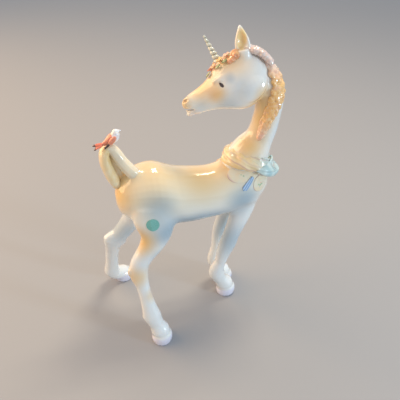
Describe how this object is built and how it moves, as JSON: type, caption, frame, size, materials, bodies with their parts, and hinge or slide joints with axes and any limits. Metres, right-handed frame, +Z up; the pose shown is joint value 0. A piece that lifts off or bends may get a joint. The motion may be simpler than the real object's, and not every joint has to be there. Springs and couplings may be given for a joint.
{
  "type": "unicorn figurine",
  "caption": "Glazed porcelain foal with a spiral horn, flower garland, short mane, ruffled collar with a bow, looped tail and a small bird on it; stands on four hooves.",
  "frame": {"origin": "on the plane that the four hooves stand on, under the middle of the overall box", "axes": "+X forwards along the body, +Y to the animal's left, +Z up"},
  "size_m": [0.1497, 0.0969, 0.2434],
  "materials": {
    "white_porcelain": "gloss",
    "mane_tint": "gloss",
    "flower_tint": "gloss",
    "leaf_tint": "gloss",
    "collar_tint": "gloss",
    "lobe_tint": "gloss",
    "ribbon_tint": "gloss",
    "tail_tint": "gloss",
    "bird_tint": "gloss",
    "teal_paper": "matte"
  },
  "bodies": {
    "root": {"torso": "white_porcelain", "neck": "white_porcelain", "head": "white_porcelain", "left_ear": "white_porcelain", "right_ear": "white_porcelain", "horn": "white_porcelain", "forelock": "mane_tint", "right_foreleg": "white_porcelain", "left_foreleg": "white_porcelain", "right_hind_leg": "white_porcelain", "left_hind_leg": "white_porcelain", "mane_lock_1": "mane_tint", "mane_lock_2": "mane_tint", "mane_lock_3": "mane_tint", "mane_lock_4": "mane_tint", "mane_lock_5": "mane_tint", "mane_lock_6": "mane_tint", "mane_lock_7": "mane_tint", "mane_lock_8": "mane_tint", "mane_lock_9": "mane_tint", "garland_flower_1": "flower_tint", "garland_flower_2": "flower_tint", "garland_flower_3": "flower_tint", "garland_flower_4": "flower_tint", "garland_flower_5": "flower_tint", "garland_leaf_1": "leaf_tint", "garland_leaf_2": "leaf_tint", "garland_leaf_3": "leaf_tint", "garland_leaf_4": "leaf_tint", "collar_band": "collar_tint", "bow_knot": "collar_tint", "left_bow_loop": "collar_tint", "right_bow_loop": "collar_tint", "left_lobe": "lobe_tint", "right_lobe": "lobe_tint", "left_chest_lobe": "lobe_tint", "right_chest_lobe": "lobe_tint", "left_ribbon_end": "ribbon_tint", "right_ribbon_end": "ribbon_tint", "tail_strand": "white_porcelain", "tail_lock": "tail_tint", "bird_body": "bird_tint", "bird_right_wing": "bird_tint", "bird_left_wing": "bird_tint", "bird_tail": "bird_tint", "lot_dot": "teal_paper"}
  },
  "joints": []
}
